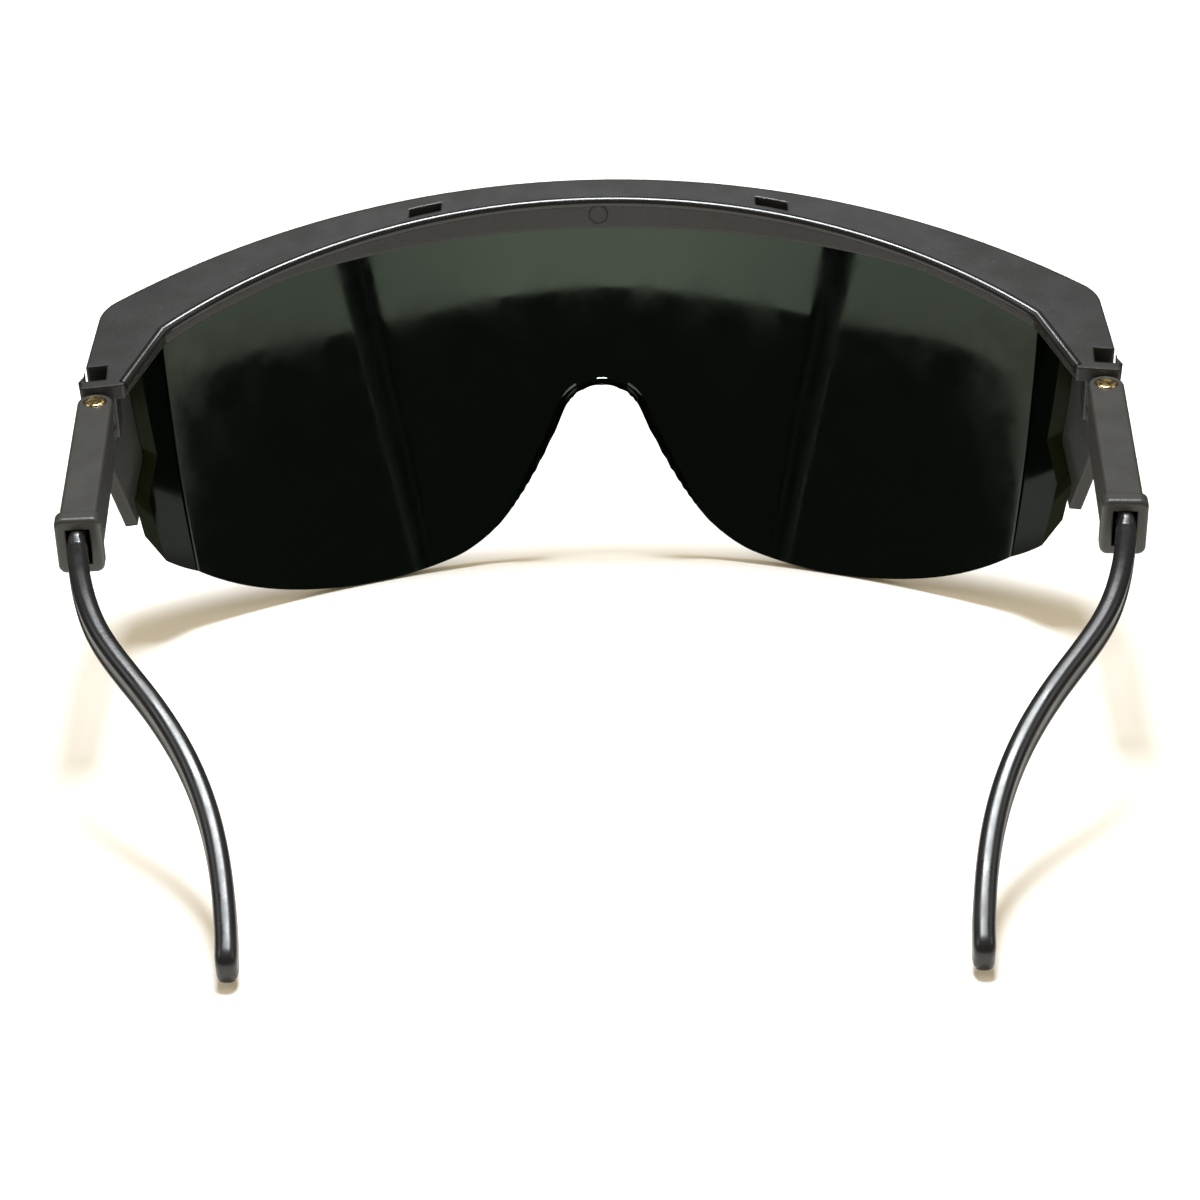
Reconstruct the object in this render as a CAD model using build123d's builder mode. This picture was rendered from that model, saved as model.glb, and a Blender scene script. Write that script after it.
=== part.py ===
"""Over-the-glasses welding spectacles: one wrap-round shade lens in a moulded brow frame, with folding
temples whose arms telescope in short sleeves.

Millimetres. +Z is up and the wearer looks along -Y, so the wearer's left is +X. The spectacles stand as
they do on a table, on the two lobes of the lens and the two temple tips, at z = 0. The origin is the
middle of that footprint. Distances called "ahead" are measured forwards from the line of the two hinges.
"""

import os
from math import atan, cos, radians, sin, sqrt, tan

from build123d import *

# overall reach of the spectacles from the hinge line
front_reach = 51.3
tip_reach = 104.7
hinge_y = (front_reach - tip_reach) / 2

# lens: a shell swept along an arc, with a crease and a straight run at each side
lens_radius = 95.0
lens_apex = 47.4
lens_thickness = 2.0
lens_upright_radius = 250.0
lens_upright_centre_z = 61.0
crease_angle = 47.3
side_heading = 28.0
side_run = 15.0
notch_top_z = 30.4
lobe_x = 39.0
lobe_radius = 46.0

# frame: a brow moulding under one crowned top surface that falls towards the rear
brow_half_width = 79.2
brow_corner_ahead = 21.5
top_z = 63.6
top_fall = 0.35
top_crown = 1760.0
plate_thickness = 2.4
wall = 1.6
fit_gap = 0.2
brow_skirt_depth = 8.5
seam_z = 56.8
seam_crown = 360.0
end_width = 5.8
shield_tip_z = 18.5

# hinge, sleeve and arm, in the temple's own frame: its origin is on the pin's axis at mid height, x is
# outwards, y runs back along the sleeve and z is along the pin
hinge_x = 77.4
hinge_z = 39.3
toe_in = 4.5
pitch_down = 10.0
pin_radius = 1.1
pin_head_radius = 1.75
pin_clearance = 0.05
sleeve_width = 5.4
sleeve_height = 8.0
sleeve_length = 36.4
sleeve_nose = 2.7
sleeve_wall = 1.0
collar_width = 6.6
collar_height = 9.0
collar_length = 2.4
tongue_height = 3.2
tongue_gap = 0.15
arm_thickness = 2.6
arm_height = 5.6
outer_arm_thickness = 3.0
outer_arm_height = 4.4
arm_offset = 0.15
arm_front = 9.0
arm_straight_end = 38.0

os.makedirs("parts", exist_ok=True)


def ahead(distance):
    """Return the y of a point this far ahead of the hinge line."""
    return hinge_y - distance


def save(part, name):
    """Label a finished piece and write its STEP file."""
    part.label = name
    export_step(part, f"parts/{name}.step")


lens_axis_y = ahead(lens_apex - lens_radius)
brow_sagitta = front_reach - brow_corner_ahead
brow_radius = (brow_half_width**2 + brow_sagitta**2) / (2 * brow_sagitta)
brow_axis_y = ahead(front_reach - brow_radius)
tall = 90.0


def on_lens_circle(radius, angle):
    """Return the plan point at this angle from straight ahead, on a circle about the lens axis."""
    return (radius * sin(radians(angle)), lens_axis_y - radius * cos(radians(angle)))


def shell_path(offset, run):
    """Return the plan corner points of a side run: its crease and its rear end, this far off the lens."""
    bisector = (90 - crease_angle - side_heading) / 2
    radius = lens_radius + offset
    crease = on_lens_circle(radius, crease_angle)
    heading = radians(side_heading)
    stretch = run + offset * tan(radians(bisector))
    rear = (crease[0] + stretch * sin(heading), crease[1] + stretch * cos(heading))
    return crease, rear


def wrap_shell(inner_offset, thickness, low, high, run):
    """Return a doubly curved wrap-round shell that runs parallel to the lens's inner face."""
    crease, rear = shell_path(inner_offset, run)
    front = on_lens_circle(lens_radius + inner_offset, 0)
    heading = radians(side_heading)
    level = lens_upright_centre_z
    upright = lens_upright_radius + inner_offset
    start = Plane(
        origin=(-rear[0], rear[1], level),
        x_dir=(-cos(heading), -sin(heading), 0),
        z_dir=(-sin(heading), cos(heading), 0),
    )

    def bulge(radius, height):
        return (sqrt(radius**2 - height**2) - upright, height)

    heights = (low - level, (low + high) / 2 - level, high - level)
    inner = [bulge(upright, height) for height in heights]
    outer = [bulge(upright + thickness, height) for height in heights]
    with BuildPart() as shell:
        with BuildLine() as path:
            Line((-rear[0], rear[1], level), (-crease[0], crease[1], level))
            ThreePointArc((-crease[0], crease[1], level), (*front, level), (*crease, level))
            Line((*crease, level), (*rear, level))
        with BuildSketch(start):
            with BuildLine():
                ThreePointArc(*inner)
                Line(inner[2], outer[2])
                ThreePointArc(*reversed(outer))
                Line(outer[0], inner[0])
            make_face()
        sweep(path=path.line, transition=Transition.RIGHT)
    return shell.part


def crowned_slab(drop, thickness):
    """Return a slab whose crowned top lies this far under the frame's top surface."""
    fall = atan(top_fall)
    half = brow_half_width + 8
    sag = half**2 / (2 * top_crown)
    top = top_z - drop + top_fall * 15
    slope = Plane(origin=(0, ahead(front_reach + 15), top), x_dir=(1, 0, 0), z_dir=(0, -cos(fall), sin(fall)))
    with BuildPart() as slab:
        with BuildSketch(slope):
            with BuildLine():
                ThreePointArc((-half, -sag), (0, 0), (half, -sag))
                Line((half, -sag), (half, -sag - thickness))
                ThreePointArc((half, -sag - thickness), (0, -thickness), (-half, -sag - thickness))
                Line((-half, -sag - thickness), (-half, -sag))
            make_face()
        extrude(amount=-tall * 1.2)
    return slab.part


def brow_outline(inset):
    """Sketch the frame's outline in plan, moved in by this much, on the plane of the table."""
    corner_round = 6.0
    radius = brow_radius - inset
    half = brow_half_width - inset
    corner_y = brow_axis_y - sqrt(radius**2 - half**2)
    end_x = hinge_x + end_width / 2 - inset
    rear_y = ahead(-6)
    with BuildSketch() as outline:
        with BuildLine():
            ThreePointArc((-half, corner_y), (0, brow_axis_y - radius), (half, corner_y))
            Line((half, corner_y), (end_x, rear_y))
            Line((end_x, rear_y), (-end_x, rear_y))
            Line((-end_x, rear_y), (-half, corner_y))
        make_face()
        fillet(outline.vertices().group_by(Axis.Y)[0], corner_round - inset)
    return outline.sketch


def plan_prism(sketch):
    """Return a tall upright prism over a sketch on the table plane."""
    with BuildPart() as prism:
        add(sketch)
        extrude(amount=tall)
    return prism.part


def face_side_prism():
    """Return the tall prism of everything on the wearer's side of the frame's inner edge."""
    crease = shell_path(-fit_gap - wall, side_run)[0]
    front = on_lens_circle(lens_radius - fit_gap - wall, 0)
    inner_end = (hinge_x - end_width / 2 - 1.2, ahead(3))
    with BuildSketch() as region:
        with BuildLine():
            ThreePointArc((-crease[0], crease[1]), front, crease)
            Line(crease, inner_end)
            Line(inner_end, (inner_end[0], ahead(-40)))
            Line((inner_end[0], ahead(-40)), (-inner_end[0], ahead(-40)))
            Line((-inner_end[0], ahead(-40)), (-inner_end[0], inner_end[1]))
            Line((-inner_end[0], inner_end[1]), (-crease[0], crease[1]))
        make_face()
    return plan_prism(region.sketch)


def front_prism(sketch):
    """Return the prism of a front-view sketch, run right through from front to rear."""
    return extrude(sketch.moved(Location((0, tall, 0))), amount=2 * tall, dir=(0, -1, 0))


def side_prism(points):
    """Return the prism of a side-view outline given as (distance ahead, height) corners."""
    with BuildPart() as prism:
        with BuildSketch(Plane.YZ):
            with BuildLine():
                Polyline(*[(ahead(distance), height) for distance, height in points], close=True)
            make_face()
        extrude(amount=tall * 1.2, both=True)
    return prism.part


def lobe_height(x):
    """Return the height of the lens's bottom edge, an arc that touches the table under each eye."""
    return lobe_radius - sqrt(lobe_radius**2 - (x - lobe_x) ** 2)


def below_lens():
    """Return the prism of everything below the lens on the left side, nose notch included."""
    flank_top = (6.4, notch_top_z - 4.2)
    flank_foot = (15.8, 9.4)
    lobe_start = (24.9, lobe_height(24.9))
    lobe_end = (52.7, lobe_height(52.7))
    outer_end = (72.8, 17.8)
    with BuildSketch(Plane.XZ) as view:
        with BuildLine():
            notch = TangentArc((0, notch_top_z), flank_top, tangent=(1, 0))
            flank = TangentArc(flank_top, flank_foot, tangent=notch % 1)
            TangentArc(flank_foot, lobe_start, tangent=flank % 1)
            lobe = ThreePointArc(lobe_start, (lobe_x, 0), lobe_end)
            TangentArc(lobe_end, outer_end, tangent=lobe % 1)
            Polyline(outer_end, (90, 39), (90, -20), (0, -20), (0, notch_top_z))
        make_face()
    return front_prism(view.sketch)


def nose_band():
    """Return the prism over the left half of the notch and the narrow band round it that is rolled back."""
    band = 1.6
    flank_top = (6.4 + band, notch_top_z - 3.4)
    flank_foot = (15.8 + band, 10.0)
    with BuildSketch(Plane.XZ) as view:
        with BuildLine():
            notch = TangentArc((0, notch_top_z + band), flank_top, tangent=(1, 0))
            TangentArc(flank_top, flank_foot, tangent=notch % 1)
            Polyline(flank_foot, (0, 10.0), (0, notch_top_z + band))
        make_face()
    return front_prism(view.sketch)


# --- lens -------------------------------------------------------------------------------------------
tab_x = 28.6
tab_width = 4.6
slot_width = 5.2
nose_lip_depth = 3.6
lens_side_outline = [(80, -5), (80, 75), (11.4, 75), (11.4, 30), (7.4, 24), (7.4, -5)]

half_band = nose_band()
nose_lip = wrap_shell(-nose_lip_depth, nose_lip_depth + 0.4, -2, 40, side_run) & (
    half_band + half_band.mirror(Plane.YZ)
)
with BuildPart() as tabs:
    with BuildSketch(Plane.XZ):
        for side in (-1, 1):
            with Locations((side * tab_x, 60)):
                Rectangle(tab_width, 12)
    extrude(amount=tall, both=True)

lens_blank = wrap_shell(0, lens_thickness, -2, 70, side_run)
tab_zone = crowned_slab(0.5, 8) & tabs.part
lens_body = lens_blank & crowned_slab(plate_thickness + fit_gap, 75) & side_prism(lens_side_outline)
lens_part = lens_body + (lens_blank & tab_zone) + nose_lip - below_lens() - below_lens().mirror(Plane.YZ)

# --- frame ------------------------------------------------------------------------------------------
shield_offset = lens_thickness + fit_gap
shield_outline = [(3.6, 60), (3.6, shield_tip_z), (5.0, shield_tip_z - 0.8), (9.5, 24), (20, 35), (34, 47), (40, 60)]

with BuildPart() as shields:
    add(wrap_shell(shield_offset, wall, 10, 70, side_run + 4))
    add(side_prism(shield_outline), mode=Mode.INTERSECT)

with BuildPart() as rail_view:
    with BuildSketch(Plane.XZ):
        with BuildLine():
            half_span = 70
            seam_end = seam_z - half_span**2 / (2 * seam_crown)
            ThreePointArc((-half_span, seam_end), (0, seam_z), (half_span, seam_end))
            Line((half_span, seam_end), (half_span, 80))
            Line((half_span, 80), (-half_span, 80))
            Line((-half_span, 80), (-half_span, seam_end))
        make_face()
    extrude(amount=tall, both=True)
rail = wrap_shell(-fit_gap - wall, wall, 40, 70, side_run) & rail_view.part

with BuildPart() as brow:
    add(plan_prism(brow_outline(0)))
    add(crowned_slab(0, brow_skirt_depth), mode=Mode.INTERSECT)
    add(plan_prism(brow_outline(wall)) & crowned_slab(plate_thickness, 40), mode=Mode.SUBTRACT)
    add(rail)
    add(face_side_prism(), mode=Mode.SUBTRACT)
    add(shields.part)
    add(crowned_slab(0, 60), mode=Mode.INTERSECT)

# --- hinge ends of the frame ------------------------------------------------------------------------
temple = Plane(
    origin=(hinge_x, hinge_y, hinge_z),
    x_dir=(1, 0, 0),
    z_dir=(0, sin(radians(pitch_down)), cos(radians(pitch_down))),
).rotated((0, 0, toe_in))
nose_clearance = 0.3
slot_height = tongue_height + 2 * tongue_gap
lug_radius = sleeve_nose - 0.3
neck_width = 4.4
block_depth = 8.0

with BuildPart() as hinge_block:
    with Locations((0, -sleeve_nose - nose_clearance - block_depth / 2, 1.0)):
        Box(end_width, block_depth, sleeve_height + 2.0)

with BuildPart() as end_cut:
    with Locations((0, -sleeve_nose - nose_clearance + 10, 0)):
        Box(16, 20, 60)

with BuildPart() as tongue:
    with BuildSketch(Plane.XY.offset(-tongue_height / 2)):
        Circle(lug_radius)
        with Locations((0, -2.0)):
            Rectangle(neck_width, 4.0)
        Circle(pin_radius + pin_clearance, mode=Mode.SUBTRACT)
    extrude(amount=tongue_height)

with BuildPart() as pocket:
    with Locations((0.2, -6.6, 6)):
        Box(3.4, 3.6, 8.0)
    with Locations((0.6, -6.2, 3)):
        Box(2.2, 2.4, 8.0)

with BuildPart() as tab_slots:
    with BuildSketch(Plane.XZ):
        for side in (-1, 1):
            with Locations((side * tab_x, 60)):
                Rectangle(slot_width, 14)
    extrude(amount=tall, both=True)
slots = wrap_shell(fit_gap * -0.5, lens_thickness + fit_gap, 50, 75, side_run) & tab_slots.part


def both_sides(part):
    """Return a piece made in the left temple's frame, set in place on both sides."""
    left = part.moved(temple.location)
    return [left, left.mirror(Plane.YZ)]


with BuildPart() as frame:
    add(brow.part)
    add([block & plan_prism(brow_outline(0)) for block in both_sides(hinge_block.part)])
    add(crowned_slab(0, 60), mode=Mode.INTERSECT)
    add(both_sides(end_cut.part), mode=Mode.SUBTRACT)
    add(both_sides(tongue.part))
    add(both_sides(pocket.part), mode=Mode.SUBTRACT)
    add(slots, mode=Mode.SUBTRACT)
save(frame.part, "frame")
save(lens_part, "lens")

# --- sleeves ----------------------------------------------------------------------------------------
body_length = sleeve_length - collar_length
cavity_width = sleeve_width - 2 * sleeve_wall
cavity_height = arm_height + 0.1
ear_fit = 0.02

with BuildPart() as sleeve:
    with BuildSketch(Plane.XY.offset(-sleeve_height / 2)):
        Circle(sleeve_width / 2)
        with Locations((0, body_length / 2)):
            Rectangle(sleeve_width, body_length)
    extrude(amount=sleeve_height)
    edges_along = sleeve.edges().filter_by(Axis.Y)
    fillet(edges_along, 0.5)
    with BuildSketch(Plane.XZ.offset(-body_length)):
        RectangleRounded(collar_width, collar_height, 1.2)
    extrude(amount=-collar_length)
    fillet(sleeve.edges().group_by(Axis.Y)[-1], 0.7)
    with Locations((0, 6.5 + sleeve_length / 2, 0)):
        Box(cavity_width, sleeve_length, cavity_height, mode=Mode.SUBTRACT)
    with Locations((0, (lug_radius + 0.4) / 2 - 5, 0)):
        Box(12, lug_radius + 0.4 + 10, slot_height, mode=Mode.SUBTRACT)
    with Locations((0, 0, 0)):
        Cylinder(pin_radius + ear_fit, 20, mode=Mode.SUBTRACT)
    with Locations((0, 0, sleeve_height / 2)):
        Cylinder(pin_head_radius + ear_fit, 1.2, mode=Mode.SUBTRACT)

# --- hinge pins -------------------------------------------------------------------------------------
with BuildPart() as pin:
    with BuildSketch(Plane.XY.offset(-sleeve_height / 2 + 0.2)):
        Circle(pin_radius)
    extrude(amount=sleeve_height - 0.6)
    with BuildSketch(Plane.XY.offset(sleeve_height / 2 - 0.6)):
        Circle(pin_head_radius)
    extrude(amount=0.8)
    fillet(pin.edges().group_by(Axis.Z)[-1], 0.5)

# --- arms -------------------------------------------------------------------------------------------
arm_points = [
    (-0.6, 44.0, -0.2),
    (-3.7, 56.0, -2.35),
    (-10.5, 68.0, -5.4),
    (-16.6, 80.0, -8.8),
    (-20.1, 92.0, -12.4),
    (-21.5, 104.0, -16.2),
    (-21.6, 111.3, -18.5),
]
arm_corner = 1.3

with BuildPart() as arm:
    with BuildLine() as arm_path:
        spine = Spline((arm_offset, arm_straight_end - 2, 0), *arm_points, tangents=((0, 1, 0), (0.05, 1, -0.3)))
    with BuildSketch(Plane(origin=(arm_offset, arm_straight_end - 2, 0), x_dir=(1, 0, 0), z_dir=(0, 1, 0))):
        RectangleRounded(outer_arm_thickness, outer_arm_height, arm_corner)
    sweep(path=arm_path.line, binormal=spine.edge().moved(Location((0, 0, 20))))
    fillet(arm.faces().sort_by(Axis.Y)[-1].edges(), 0.9)
    with Locations((arm_offset, (arm_front + arm_straight_end) / 2, 0)):
        Box(arm_thickness, arm_straight_end - arm_front, arm_height)

for side, place in (("left", 0), ("right", 1)):
    save(both_sides(sleeve.part)[place], f"{side}_sleeve")
    save(both_sides(pin.part)[place], f"{side}_hinge_pin")
    save(both_sides(arm.part)[place], f"{side}_arm")
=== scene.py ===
"""Looks of the over-the-glasses welding spectacles, in a plain studio.

The frame's units are metres. Sizes given here in millimetres are turned into metres by MM.
"""

import math

import bpy
import numpy as np
from mathutils import Matrix, Vector


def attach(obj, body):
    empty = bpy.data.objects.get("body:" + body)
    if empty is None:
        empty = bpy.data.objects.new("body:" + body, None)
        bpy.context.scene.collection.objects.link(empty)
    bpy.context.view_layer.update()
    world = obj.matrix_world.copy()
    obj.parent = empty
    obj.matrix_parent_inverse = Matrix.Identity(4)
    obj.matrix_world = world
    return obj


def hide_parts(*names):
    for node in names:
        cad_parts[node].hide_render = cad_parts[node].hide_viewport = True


MM = 0.001

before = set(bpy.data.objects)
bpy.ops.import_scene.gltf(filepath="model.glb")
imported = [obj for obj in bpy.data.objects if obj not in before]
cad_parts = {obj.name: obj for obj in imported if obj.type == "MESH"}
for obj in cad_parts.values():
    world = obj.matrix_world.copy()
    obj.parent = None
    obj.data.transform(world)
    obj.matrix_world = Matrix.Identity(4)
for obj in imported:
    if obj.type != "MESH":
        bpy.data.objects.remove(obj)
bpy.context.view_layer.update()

# the hinge line, and the lens's two radii, as in the part
HINGE = (77.4, -26.7, 39.3)
TOE_IN = math.radians(4.5)
PITCH_DOWN = math.radians(10.0)
LENS_RADIUS = 95.0
LENS_REACH = 47.4
LENS_AXIS_Y = HINGE[1] - LENS_REACH + LENS_RADIUS
UPRIGHT_RADIUS = 250.0
UPRIGHT_CENTRE_Z = 61.0
CREASE = math.radians(47.3)
SIDE_HEADING = math.radians(28.0)
LENS_THICKNESS = 2.0
FRONT_REACH = 51.3
TOP_Z = 63.6
TOP_FALL = 0.35
TOP_CROWN = 1760.0
TOP_PLATE = 2.7


def brow_top(x, y):
    """Return the height of the brow's crowned top surface over a point."""
    ahead = HINGE[1] - y
    return TOP_Z - TOP_FALL * (FRONT_REACH - ahead) - x**2 / (2 * TOP_CROWN)


# --- meshes -----------------------------------------------------------------------------------------
def mesh_object(name, vertices_mm, faces, smooth_angle=40.0):
    """Make a mesh object from vertices in millimetres."""
    mesh = bpy.data.meshes.new(name)
    mesh.from_pydata([tuple(float(c) * MM for c in v) for v in vertices_mm], [], faces)
    mesh.validate()
    mesh.update()
    mesh.shade_smooth()
    mesh.set_sharp_from_angle(angle=math.radians(smooth_angle))
    thing = bpy.data.objects.new(name, mesh)
    bpy.context.scene.collection.objects.link(thing)
    return thing


def grid_faces(rows, columns, start=0, flip=False):
    """List the quads of a grid of vertices stored row by row."""
    faces = []
    for i in range(rows - 1):
        for j in range(columns - 1):
            a = start + i * columns + j
            quad = (a, a + 1, a + columns + 1, a + columns)
            faces.append(tuple(reversed(quad)) if flip else quad)
    return faces


def smooth_path(points, start, end, count):
    """Return points and directions along a cubic spline through points, with its end directions given."""
    points = np.array(points, float)
    knots = np.concatenate([[0], np.cumsum(np.linalg.norm(np.diff(points, axis=0), axis=1))])
    gaps = np.diff(knots)
    n = len(points)
    system = np.eye(n)
    wanted = np.zeros((n, 3))
    wanted[0] = np.array(start) / np.linalg.norm(start)
    wanted[-1] = np.array(end) / np.linalg.norm(end)
    for i in range(1, n - 1):
        before, after = gaps[i - 1], gaps[i]
        system[i, i - 1 : i + 2] = (after, 2 * (before + after), before)
        wanted[i] = 3 * (
            (points[i + 1] - points[i]) * before / after + (points[i] - points[i - 1]) * after / before
        )
    slopes = np.linalg.solve(system, wanted)
    places, headings = [], []
    for t in np.linspace(0, knots[-1], count):
        i = min(int(np.searchsorted(knots, t, side="right")) - 1, n - 2)
        h = gaps[i]
        u = (t - knots[i]) / h
        chord = points[i + 1] - points[i]
        place = (
            points[i]
            + chord * (3 * u**2 - 2 * u**3)
            + slopes[i] * h * (u**3 - 2 * u**2 + u)
            + slopes[i + 1] * h * (u**3 - u**2)
        )
        heading = (
            chord * (6 * u - 6 * u**2) / h
            + slopes[i] * (3 * u**2 - 4 * u + 1)
            + slopes[i + 1] * (3 * u**2 - 2 * u)
        )
        places.append(place)
        headings.append(heading)
    return places, headings


# --- lens -------------------------------------------------------------------------------------------
NOTCH_TOP = 30.4
LOBE_X = 39.0
LOBE_RADIUS = 46.0
LOBE_START_X = 24.9
LOBE_END_X = 52.7
FLANK_TOP = (6.4, NOTCH_TOP - 4.2)
FLANK_FOOT = (15.8, 9.4)
OUTER_CORNER = (72.8, 17.8)
OUTLINE_END = (90.0, 39.0)


def lobe_height(x):
    """Return the height of the lens's bottom edge under one eye."""
    return LOBE_RADIUS - math.sqrt(LOBE_RADIUS**2 - (x - LOBE_X) ** 2)


def tangent_arc(start, end, heading, count=24):
    """Return the points of an arc that leaves start on this heading, and its heading at the end."""
    chord = math.atan2(end[1] - start[1], end[0] - start[0])
    turn = 2 * (chord - heading)
    length = math.dist(start, end)
    if abs(turn) < 1e-6:
        return [start, end], heading
    radius = length / (2 * math.sin(turn / 2))
    centre = (start[0] - radius * math.sin(heading), start[1] + radius * math.cos(heading))
    points = []
    for k in range(count + 1):
        a = heading + turn * k / count
        points.append((centre[0] + radius * math.sin(a), centre[1] - radius * math.cos(a)))
    return points, heading + turn


def lower_outline():
    """Return the lens's lower edge in front view, from the notch's top outwards, and its rolled part."""
    notch, heading = tangent_arc((0.0, NOTCH_TOP), FLANK_TOP, 0.0)
    flank, heading = tangent_arc(FLANK_TOP, FLANK_FOOT, heading)
    corner, _ = tangent_arc(FLANK_FOOT, (LOBE_START_X, lobe_height(LOBE_START_X)), heading)
    lobe = [(x, lobe_height(x)) for x in np.linspace(LOBE_START_X, LOBE_END_X, 40)]
    heading = math.asin((LOBE_END_X - LOBE_X) / LOBE_RADIUS)
    outer, _ = tangent_arc((LOBE_END_X, lobe_height(LOBE_END_X)), OUTER_CORNER, heading)
    rolled_edge = notch + flank[1:] + corner[1:]
    return rolled_edge + lobe[1:] + outer[1:] + [OUTLINE_END], rolled_edge


LOWER_EDGE, NOTCH_EDGE = lower_outline()
LOWER_X = np.array([p[0] for p in LOWER_EDGE])
LOWER_Z = np.array([p[1] for p in LOWER_EDGE])
ROLL_DEPTH = 3.3
ROLL_WIDTH = 3.6
ROLL_FOOT_Z = 3.5
ROLL_FADE = 13.0
REAR_AHEAD = 11.4
REAR_CORNER_Z = 30.0
REAR_CORNER = (4.0, 6.0)
BEND_BEFORE = 3.0
BEND_AFTER = 1.5
CREASE_LEVEL_Z = 30.0


def bulge(height, offset):
    """Return how far the lens stands in from its widest level at this height."""
    reach = UPRIGHT_RADIUS + offset
    return math.sqrt(reach**2 - (height - UPRIGHT_CENTRE_Z) ** 2) - UPRIGHT_RADIUS


def lens_point(run, height, offset):
    """Return the point at this distance along the lens from its middle, offset off its inner face."""
    half_arc = LENS_RADIUS * CREASE
    out = LENS_RADIUS + bulge(height, offset)
    angle = min(abs(run), half_arc) / LENS_RADIUS
    x = out * math.sin(angle)
    y = LENS_AXIS_Y - out * math.cos(angle)
    beyond = max(abs(run) - half_arc, 0.0)
    if beyond:
        x += beyond * math.sin(SIDE_HEADING)
        y += beyond * math.cos(SIDE_HEADING)
    return math.copysign(x, run) if run else 0.0, y, height


def lens_low(run, offset):
    """Return the height of the lens's lower edge at this distance along it."""
    height = 20.0
    for _ in range(12):
        x = abs(lens_point(run, height, offset)[0])
        height = float(np.interp(x, LOWER_X, LOWER_Z))
    return height


def lens_high(run, offset):
    """Return the height of the lens's top edge, just under the brow's top plate."""
    x, y, _ = lens_point(run, 58.0, offset)
    return brow_top(x, y) - TOP_PLATE


def rear_run(height, offset):
    """Return the distance along the lens of its rear edge, whose lower corner runs further back."""
    drop, rise = REAR_CORNER
    up = min(max(0.0, (height - REAR_CORNER_Z + rise) / rise), 1.0)
    ahead = REAR_AHEAD - drop + drop * up
    out = LENS_RADIUS + bulge(height, offset)
    crease_ahead = HINGE[1] - LENS_AXIS_Y + out * math.cos(CREASE)
    return LENS_RADIUS * CREASE + (crease_ahead - ahead) / math.cos(SIDE_HEADING)


def rolled(point):
    """Roll the lens back towards the face where it comes near the edge of the nose notch."""
    x, y, z = point
    nearest = min(math.dist((abs(x), z), edge) for edge in NOTCH_EDGE)
    if nearest >= ROLL_WIDTH:
        return point
    fade = min(max((z - ROLL_FOOT_Z) / ROLL_FADE, 0.0), 1.0)
    fade = fade * fade * (3 - 2 * fade)
    share = 1 - nearest / ROLL_WIDTH
    return x, y + ROLL_DEPTH * fade * (1 - math.sqrt(1 - share**2)), z


def lens():
    """Build the wrap-round shade: an inner and an outer face and the cut edge between them."""
    half_arc = LENS_RADIUS * CREASE
    near_nose = np.linspace(0, 24, 73)[:-1]
    over_eye = np.linspace(24, half_arc - BEND_BEFORE, 60)[:-1]
    bend = np.linspace(half_arc - BEND_BEFORE, half_arc + BEND_AFTER, 10)[:-1]
    shares = np.linspace(0, 1, 9)
    runs = list(near_nose) + list(over_eye) + list(bend)
    steps = 110
    half = [("run", r) for r in runs] + [("side", s) for s in shares]
    whole = [(kind, value, -1) for kind, value in reversed(half[1:])]
    whole += [(kind, value, 1) for kind, value in half]
    vertices = []
    for offset in (0.0, LENS_THICKNESS):
        for kind, value, sign in whole:
            for step in range(steps + 1):
                t = (step / steps) ** 1.5
                if kind == "run":
                    low, high = lens_low(value, offset), lens_high(value, offset)
                    height = low + (high - low) * t
                    point = lens_point(sign * value, height, offset)
                else:
                    first = half_arc + BEND_AFTER
                    guess = 0.5 * (lens_low(first, offset) + 20.0)
                    for _ in range(6):
                        run = first + value * (rear_run(guess, offset) - first)
                        low, high = lens_low(run, offset), lens_high(run, offset)
                        guess = low + (high - low) * t
                    point = lens_point(sign * run, guess, offset)
                vertices.append(rolled(point))
    count = len(whole)
    rows = steps + 1
    outer = count * rows
    faces = grid_faces(count, rows, 0, flip=True) + grid_faces(count, rows, outer)
    rim = []
    for i in range(count - 1):
        a = i * rows
        rim.append((a, a + rows, a + rows + outer, a + outer))
        b = a + rows - 1
        rim.append((b + rows, b, b + outer, b + rows + outer))
    for j in range(rows - 1):
        rim.append((j + 1, j, j + outer, j + 1 + outer))
        c = (count - 1) * rows + j
        rim.append((c, c + 1, c + 1 + outer, c + outer))
    shell = mesh_object("shade_lens_shell", vertices, faces + rim, smooth_angle=35.0)
    mark_rim(shell, len(faces))
    crease_bulge = bulge(CREASE_LEVEL_Z, 0)
    crease_x = (LENS_RADIUS + crease_bulge) * math.sin(CREASE)
    crease_y = LENS_AXIS_Y - (LENS_RADIUS + crease_bulge) * math.cos(CREASE)
    for face in shell.data.polygons:
        centre = face.center / MM
        level = bulge(centre.z, 0) - crease_bulge
        behind = centre.y - (crease_y - level * math.cos(CREASE))
        if behind > 0.2 and abs(centre.x) > crease_x + level * math.sin(CREASE) - 0.5:
            face.material_index = 1
    return shell


def mark_rim(thing, first_rim_face):
    """Store 1 on the faces of the cut edge, for the material to show it."""
    layer = thing.data.attributes.new("cut_edge", "FLOAT", "FACE")
    flags = np.zeros(len(thing.data.polygons), dtype=np.float32)
    flags[first_rim_face:] = 1.0
    layer.data.foreach_set("value", flags)


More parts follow.
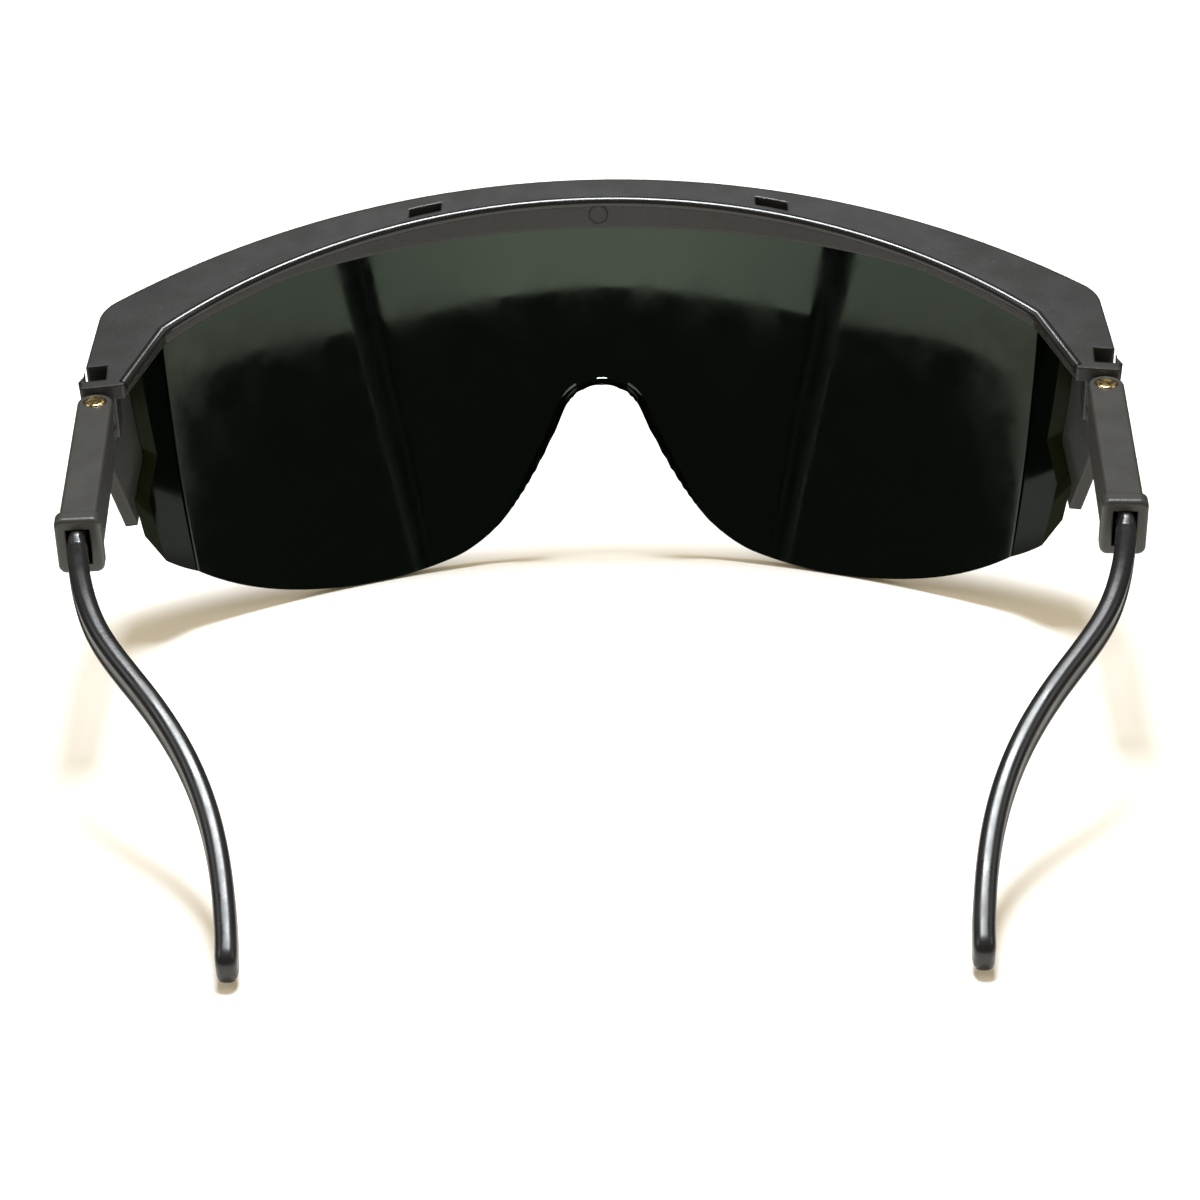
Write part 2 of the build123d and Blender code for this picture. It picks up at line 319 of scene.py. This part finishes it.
# --- arms -------------------------------------------------------------------------------------------
# the arm's own points run outwards, back and up from the hinge; the tongue stays in the sleeve
ARM_OFFSET = 0.15
TONGUE_LEVELS = (9.1, 22.0, 36.6, 37.9)
BAR_START = 37.95
BAR_HALF_WIDTH = 1.47
BAR_HALF_HEIGHT = 2.17
BAR_CORNER = 1.2
TONGUE_HALF_WIDTH = 1.28
TONGUE_HALF_HEIGHT = 2.78
TIP_ROUNDING = 2.0
FLUTE_FADE_IN = 4.0
FLUTE_FADE_OUT = 12.0
ARM_POINTS = [
    (ARM_OFFSET, 36.0, 0.0),
    (-0.6, 44.0, -0.2),
    (-3.7, 56.0, -2.35),
    (-10.5, 68.0, -5.4),
    (-16.6, 80.0, -8.8),
    (-20.1, 92.0, -12.4),
    (-21.5, 104.0, -16.2),
    (-21.6, 111.3, -18.5),
]


def temple_to_row(point, side):
    """Turn a point of the temple's own frame (outwards, back, up) into the row's frame."""
    tilt = Matrix.Rotation(-PITCH_DOWN, 3, "X") @ Matrix.Rotation(TOE_IN, 3, "Z")
    x, y, z = tilt @ Vector(point)
    return side * (HINGE[0] + x), HINGE[1] + y, HINGE[2] + z


def fluted_section():
    """Return the arm's outline as (place, flute shift): an oval bar with a channel along each side."""
    flat_w, flat_h = BAR_HALF_WIDTH - BAR_CORNER, BAR_HALF_HEIGHT - BAR_CORNER
    outline = []
    for quarter in range(4):
        right = 1 if quarter in (0, 3) else -1
        upper = 1 if quarter in (0, 1) else -1
        for k in range(9):
            a = math.radians(90 * quarter + 11.25 * k)
            u = flat_w * right + BAR_CORNER * math.cos(a)
            v = flat_h * upper + BAR_CORNER * math.sin(a)
            outline.append(((u, v), (0, 0)))
        if quarter in (1, 3):
            out = -1 if quarter == 1 else 1
            for z, depth in ((0.72, 0.16), (0.3, 0.24), (-0.3, 0.24), (-0.72, 0.16)):
                outline.append(((out * BAR_HALF_WIDTH, -out * z), (-out * depth, 0)))
    return outline


def arm(side, name):
    """Build one telescoping arm: a plain tongue in the sleeve, then the fluted, curving bar."""
    outline = fluted_section()
    places, headings = smooth_path(ARM_POINTS, (0, 1, 0), (0.05, 1, -0.3), 170)
    narrow, tall = TONGUE_HALF_WIDTH / BAR_HALF_WIDTH, TONGUE_HALF_HEIGHT / BAR_HALF_HEIGHT
    rings = []
    for y in TONGUE_LEVELS:
        rings.append([(ARM_OFFSET + u * narrow, y, v * tall) for (u, v), _ in outline])
    for place, heading in zip(places, headings):
        if place[1] <= BAR_START:
            continue
        flat = math.hypot(heading[0], heading[1])
        across = (heading[1] / flat, -heading[0] / flat)
        left = math.dist(place, places[-1])
        taper = 1.0
        if left < TIP_ROUNDING:
            taper = 0.5 + 0.5 * math.sqrt(max(0.0, 1 - (1 - left / TIP_ROUNDING) ** 2))
        fade_out = min(1.0, max(0.0, (left - TIP_ROUNDING) / FLUTE_FADE_OUT))
        depth = fade_out * min(1.0, (place[1] - BAR_START) / FLUTE_FADE_IN)
        ring = []
        for (u, v), (du, dv) in outline:
            u, v = (u + du * depth) * taper, (v + dv * depth) * taper
            ring.append((place[0] + across[0] * u, place[1] + across[1] * u, place[2] + v))
        rings.append(ring)
    sides = len(outline)
    vertices = [temple_to_row(p, side) for ring in rings for p in ring]
    faces = []
    for r in range(len(rings) - 1):
        for s in range(sides):
            a, b = r * sides + s, r * sides + (s + 1) % sides
            faces.append((a, b, b + sides, a + sides))
    faces.append(tuple(reversed(range(sides))))
    faces.append(tuple(range((len(rings) - 1) * sides, len(rings) * sides)))
    if side > 0:
        faces = [tuple(reversed(f)) for f in faces]
    return mesh_object(name, vertices, faces, smooth_angle=50.0)


# --- brow details -----------------------------------------------------------------------------------
INNER_RADIUS = LENS_RADIUS - 1.8
BEAD_RADIUS = 0.95
BEAD_SINK = BEAD_RADIUS * 0.93
BEAD_END = (HINGE[0] - 2.9 - 1.2 + 0.3, HINGE[1] - 3.4)
MARK_RADIUS = 1.5
MARK_CORD = 0.16
MARK_HEIGHT = 59.0


def edge_bead():
    """Build the polished rounded edge round the inside of the brow's top."""
    end_x, end_y = BEAD_END
    plan = [(-end_x, end_y)]
    for a in np.linspace(-CREASE, CREASE, 90):
        r = INNER_RADIUS + BEAD_RADIUS * 0.75
        plan.append((r * math.sin(a), LENS_AXIS_Y - r * math.cos(a)))
    plan.append((end_x, end_y))
    points = [(x, y, brow_top(x, y) - BEAD_SINK) for x, y in plan]
    path = bpy.data.curves.new("brow_edge_bead", "CURVE")
    path.dimensions = "3D"
    path.bevel_depth = BEAD_RADIUS * MM
    path.bevel_resolution = 5
    path.use_fill_caps = True
    run = path.splines.new("POLY")
    run.points.add(len(points) - 1)
    for spot, point in zip(run.points, points):
        spot.co = (*(c * MM for c in point), 1)
    bead = bpy.data.objects.new("brow_edge_bead", path)
    bpy.context.scene.collection.objects.link(bead)
    return bead


def moulding_mark():
    """Build the small round ejector mark in the middle of the brow's inner face."""
    face_y = LENS_AXIS_Y - INNER_RADIUS
    vertices, faces = [], []
    around, about = 48, 10
    for i in range(around):
        a = 2 * math.pi * i / around
        for j in range(about):
            b = 2 * math.pi * j / about
            r = MARK_RADIUS + MARK_CORD * math.cos(b)
            y = face_y + MARK_CORD * math.sin(b)
            vertices.append((r * math.cos(a), y, MARK_HEIGHT + r * math.sin(a)))
            here, ahead = i * about, ((i + 1) % around) * about
            beside = (j + 1) % about
            faces.append((here + j, ahead + j, ahead + beside, here + beside))
    return mesh_object("brow_moulding_mark", vertices, faces, smooth_angle=80.0)


# --- materials --------------------------------------------------------------------------------------
class Shader:
    """A material and short ways to add nodes to it."""

    def __init__(self, name):
        self.material = bpy.data.materials.new(name)
        self.material.use_nodes = True
        self.tree = self.material.node_tree
        self.surface = self.tree.nodes["Principled BSDF"]
        self.place = self.node("ShaderNodeTexCoord").outputs["Object"]

    def node(self, kind, **values):
        made = self.tree.nodes.new(kind)
        for key, value in values.items():
            setattr(made, key, value)
        return made

    def link(self, source, target):
        self.tree.links.new(source, target)

    def noise(self, scale, detail=3.0, roughness=0.5):
        made = self.node("ShaderNodeTexNoise")
        made.inputs["Scale"].default_value = scale
        made.inputs["Detail"].default_value = detail
        made.inputs["Roughness"].default_value = roughness
        self.link(self.place, made.inputs["Vector"])
        return made.outputs["Fac"]

    def spread(self, source, low, high, from_low=0.35, from_high=0.65):
        made = self.node("ShaderNodeMapRange")
        made.inputs["From Min"].default_value = from_low
        made.inputs["From Max"].default_value = from_high
        made.inputs["To Min"].default_value = low
        made.inputs["To Max"].default_value = high
        self.link(source, made.inputs["Value"])
        return made.outputs["Result"]

    def mix(self, factor, dark, light):
        made = self.node("ShaderNodeMix", data_type="RGBA")
        self.link(factor, made.inputs["Factor"])
        for socket, colour in ((made.inputs[6], dark), (made.inputs[7], light)):
            if isinstance(colour, tuple):
                socket.default_value = (*colour, 1)
            else:
                self.link(colour, socket)
        return made.outputs[2]

    def bump(self, height, strength, distance, normal=None):
        made = self.node("ShaderNodeBump")
        made.inputs["Strength"].default_value = strength
        made.inputs["Distance"].default_value = distance
        self.link(height, made.inputs["Height"])
        if normal is not None:
            self.link(normal, made.inputs["Normal"])
        return made.outputs["Normal"]

    def rounded(self, radius):
        made = self.node("ShaderNodeBevel", samples=6)
        made.inputs["Radius"].default_value = radius
        return made.outputs["Normal"]


def moulded_plastic(name, dark, light, rough_low, rough_high, grain, grain_depth, edge_radius=0.0):
    """Return a moulded plastic with a fine grain, cloudy colour and softened edges."""
    shader = Shader(name)
    clouds = shader.noise(60, 4)
    shader.link(shader.mix(clouds, dark, light), shader.surface.inputs["Base Color"])
    roughness = shader.spread(shader.noise(220, 5), rough_low, rough_high)
    shader.link(roughness, shader.surface.inputs["Roughness"])
    normal = shader.rounded(edge_radius) if edge_radius else None
    pores = shader.bump(shader.noise(grain, 2), grain_depth, 0.0001, normal)
    shader.link(pores, shader.surface.inputs["Normal"])
    shader.surface.inputs["IOR"].default_value = 1.5
    return shader


def shade_material(name, gloss):
    """Return the welding shade: near-black green, polished, with an olive cut edge."""
    shader = Shader(name)
    edge = shader.node("ShaderNodeAttribute", attribute_name="cut_edge").outputs["Fac"]
    depth = shader.mix(shader.noise(30, 2), (0.0004, 0.0009, 0.0005), (0.0007, 0.0015, 0.0009))
    shader.link(shader.mix(edge, depth, (0.007, 0.008, 0.003)), shader.surface.inputs["Base Color"])
    polish = shader.spread(shader.noise(140, 4), 0.02, 0.05)
    rough = shader.node("ShaderNodeMix", data_type="FLOAT")
    shader.link(edge, rough.inputs[0])
    shader.link(polish, rough.inputs[2])
    rough.inputs[3].default_value = 0.3
    shader.link(rough.outputs[0], shader.surface.inputs["Roughness"])
    shader.link(shader.bump(shader.noise(14, 1), 0.03, 0.0004), shader.surface.inputs["Normal"])
    shader.surface.inputs["IOR"].default_value = 1.6
    shader.surface.inputs["Specular IOR Level"].default_value = gloss
    shader.surface.inputs["Specular Tint"].default_value = (0.78, 1.0, 0.84, 1)
    return shader.material


def brass_material():
    """Return brass with patchy tarnish and small scratches."""
    shader = Shader("turned_brass")
    shader.surface.inputs["Metallic"].default_value = 1.0
    tarnish = shader.mix(shader.noise(900, 3), (0.62, 0.42, 0.16), (0.86, 0.66, 0.30))
    shader.link(tarnish, shader.surface.inputs["Base Color"])
    shader.link(shader.spread(shader.noise(1500, 3), 0.16, 0.34), shader.surface.inputs["Roughness"])
    shader.link(shader.bump(shader.noise(2600, 2), 0.06, 0.0001), shader.surface.inputs["Normal"])
    return shader.material


def speckled(shader, amount, size):
    """Add the tiny pale specks of a worn, dusty moulding to a plastic's colour."""
    cells = shader.node("ShaderNodeTexVoronoi")
    cells.inputs["Scale"].default_value = size
    shader.link(shader.place, cells.inputs["Vector"])
    dots = shader.spread(cells.outputs["Distance"], 1.0, 0.0, 0.08, 0.16)
    patches = shader.spread(shader.noise(350, 2), 0.0, amount, 0.52, 0.7)
    both = shader.node("ShaderNodeMath", operation="MULTIPLY")
    shader.link(dots, both.inputs[0])
    shader.link(patches, both.inputs[1])
    base = shader.surface.inputs["Base Color"].links[0].from_socket
    shader.link(shader.mix(both.outputs[0], base, (0.34, 0.34, 0.33)), shader.surface.inputs["Base Color"])
    return shader


SPECKS = 0.12
brow_shader = moulded_plastic(
    "satin_black_brow",
    dark=(0.019, 0.020, 0.020), light=(0.024, 0.026, 0.025), rough_low=0.30, rough_high=0.34,
    grain=2600, grain_depth=0.22, edge_radius=0.0005,
)
brow_plastic = speckled(brow_shader, SPECKS, 900).material
edge_plastic = moulded_plastic(
    "polished_brow_edge",
    dark=(0.010, 0.010, 0.010), light=(0.014, 0.015, 0.014), rough_low=0.2, rough_high=0.28,
    grain=900, grain_depth=0.06,
).material
sleeve_shader = moulded_plastic(
    "satin_black_sleeve",
    dark=(0.033, 0.033, 0.031), light=(0.041, 0.041, 0.038), rough_low=0.36, rough_high=0.42,
    grain=3000, grain_depth=0.2, edge_radius=0.0004,
)
sleeve_plastic = speckled(sleeve_shader, SPECKS, 1100).material
arm_plastic = moulded_plastic(
    "polished_black_arm",
    dark=(0.010, 0.010, 0.011), light=(0.017, 0.017, 0.018), rough_low=0.24, rough_high=0.36,
    grain=1400, grain_depth=0.08,
).material
shade = shade_material("polished_green_shade", 0.5)
side_shade = shade_material("dull_green_side_panel", 0.08)
brass = brass_material()


def finish_with(thing, material):
    """Give a piece or a CAD node one material in all its slots."""
    if not thing.material_slots:
        thing.data.materials.append(material)
    for place in thing.material_slots:
        place.material = material


# --- pieces on their bodies -------------------------------------------------------------------------
shade_lens = lens()
shade_lens.data.materials.append(shade)
shade_lens.data.materials.append(side_shade)
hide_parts("lens")
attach(shade_lens, "front")

for side, word in ((1, "left"), (-1, "right")):
    bar = arm(side, f"{word}_fluted_arm")
    finish_with(bar, arm_plastic)
    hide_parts(f"{word}_arm")
    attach(bar, f"{word}_arm")

for detail, material in ((edge_bead(), edge_plastic), (moulding_mark(), brow_plastic)):
    finish_with(detail, material)
    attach(detail, "front")

finish_with(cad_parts["frame"], brow_plastic)
for word in ("left", "right"):
    finish_with(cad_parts[f"{word}_sleeve"], sleeve_plastic)
    finish_with(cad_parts[f"{word}_hinge_pin"], brass)


# --- studio -----------------------------------------------------------------------------------------
TABLE_CORNERS = 120
TABLE_SQUARENESS = 2.2
PAPER_WHITE = 0.92


def flat_sheet(name, outline, z, shade_of_white):
    """Lay a plain pale sheet with this outline."""
    mesh = bpy.data.meshes.new(name)
    mesh.from_pydata([(x, y, z) for x, y in outline], [], [tuple(range(len(outline)))])
    sheet = bpy.data.objects.new(name, mesh)
    bpy.context.scene.collection.objects.link(sheet)
    paper = Shader(f"{name}_paper")
    pale = (shade_of_white,) * 3
    paler = (shade_of_white * 0.985,) * 3
    paper.link(paper.mix(paper.noise(8, 3), pale, paler), paper.surface.inputs["Base Color"])
    paper.surface.inputs["Roughness"].default_value = 0.9
    paper.surface.inputs["Specular IOR Level"].default_value = 0.1
    sheet.data.materials.append(paper.material)
    return sheet


def rounded_table(half_width, half_depth, centre_y):
    """Return the outline of a table top, between an ellipse and a rectangle."""
    outline = []
    for k in range(TABLE_CORNERS):
        a = 2 * math.pi * k / TABLE_CORNERS
        c, s = math.cos(a), math.sin(a)
        x = math.copysign(abs(c) ** (2 / TABLE_SQUARENESS), c) * half_width
        y = centre_y + math.copysign(abs(s) ** (2 / TABLE_SQUARENESS), s) * half_depth
        outline.append((x, y))
    return outline


def paint_side_shade(material, start, end, colour):
    """Paint shade onto a sheet: its colour falls off smoothly to each side, standing in for the dimmer
    light there.
    """
    tree = material.node_tree
    split, size, fall, mix = (
        tree.nodes.new(kind)
        for kind in ("ShaderNodeSeparateXYZ", "ShaderNodeMath", "ShaderNodeMapRange", "ShaderNodeMix")
    )
    size.operation = "ABSOLUTE"
    fall.inputs["From Min"].default_value = start
    fall.inputs["From Max"].default_value = end
    mix.data_type = "RGBA"
    mix.inputs[7].default_value = (*colour, 1)
    base = tree.nodes["Principled BSDF"].inputs["Base Color"]
    tree.links.new(tree.nodes["Texture Coordinate"].outputs["Object"], split.inputs[0])
    tree.links.new(split.outputs["X"], size.inputs[0])
    tree.links.new(size.outputs[0], fall.inputs["Value"])
    tree.links.new(fall.outputs["Result"], mix.inputs["Factor"])
    tree.links.new(base.links[0].from_socket, mix.inputs[6])
    tree.links.new(mix.outputs[2], base)


floor = flat_sheet("floor", [(-3, -3), (3, -3), (3, 3), (-3, 3)], -0.0002, PAPER_WHITE)
floor.visible_glossy = False

# only reflections see the table: it gives the lens its pale band and the black below that
table = flat_sheet("table", rounded_table(0.174, 0.155, 0.055), -0.0001, PAPER_WHITE)
# painted shade: the table greys towards each side, so the lens's reflected band dims at its ends
paint_side_shade(table.data.materials[0], 0.05, 0.20, (0.42, 0.42, 0.42))
table.visible_camera = False
table.visible_diffuse = False
table.visible_shadow = False


def softbox(name, place, target, size, power, colour):
    """Hang one soft rectangular light that faces a target."""
    light = bpy.data.lights.new(name, "AREA")
    light.shape = "RECTANGLE"
    light.size, light.size_y = size
    light.energy = power
    light.color = colour
    lamp = bpy.data.objects.new(name, light)
    lamp.location = place
    lamp.rotation_euler = (Vector(target) - Vector(place)).to_track_quat("-Z", "Y").to_euler()
    bpy.context.scene.collection.objects.link(lamp)


softbox("overhead", (0.0, -0.17, 1.0), (0, -0.05, 0), (0.28, 0.28), 13.5, (0.95, 0.98, 1.0))
softbox("left_fill", (0.9, 0.1, 0.8), (0, 0, 0), (0.5, 0.5), 1.6, (0.97, 0.98, 1.0))
softbox("right_fill", (-0.9, 0.1, 0.8), (0, 0, 0), (0.5, 0.5), 1.2, (0.97, 0.98, 1.0))

# the world is warm to diffuse light, dim to reflections and white to the camera
world = bpy.data.worlds.new("studio")
world.use_nodes = True
nodes, links = world.node_tree.nodes, world.node_tree.links
ray = nodes.new("ShaderNodeLightPath")
ambient = nodes["Background"]
ambient.inputs["Color"].default_value = (1.0, 0.80, 0.48, 1)
ambient.inputs["Strength"].default_value = 0.58
dim = nodes.new("ShaderNodeBackground")
dim.inputs["Color"].default_value = (0.05, 0.05, 0.05, 1)
switch = nodes.new("ShaderNodeMixShader")
links.new(ray.outputs["Is Glossy Ray"], switch.inputs[0])
links.new(ambient.outputs[0], switch.inputs[1])
links.new(dim.outputs[0], switch.inputs[2])
backdrop = nodes.new("ShaderNodeBackground")
backdrop.inputs["Color"].default_value = (1.0, 1.0, 1.0, 1)
seen = nodes.new("ShaderNodeMixShader")
links.new(ray.outputs["Is Camera Ray"], seen.inputs[0])
links.new(switch.outputs[0], seen.inputs[1])
links.new(backdrop.outputs[0], seen.inputs[2])
links.new(seen.outputs[0], nodes["World Output"].inputs[0])
bpy.context.scene.world = world
bpy.context.scene.view_settings.view_transform = "Standard"

# --- camera -----------------------------------------------------------------------------------------
camera = bpy.data.cameras.new("camera")
camera.lens = 84.05
camera.sensor_width = 36.0
camera.clip_end = 20
eye = bpy.data.objects.new("camera", camera)
eye.location = (-0.0032, 0.3820, 0.1772)
look_down = math.radians(22.41)
look_aside = math.radians(0.54)
roll = math.radians(-1.21)
ahead = Vector(
    (
        math.sin(look_aside) * math.cos(look_down),
        -math.cos(look_aside) * math.cos(look_down),
        -math.sin(look_down),
    )
)
aim = ahead.to_track_quat("-Z", "Y").to_matrix() @ Matrix.Rotation(roll, 3, "Z")
eye.rotation_euler = aim.to_euler()
bpy.context.scene.collection.objects.link(eye)
bpy.context.scene.camera = eye
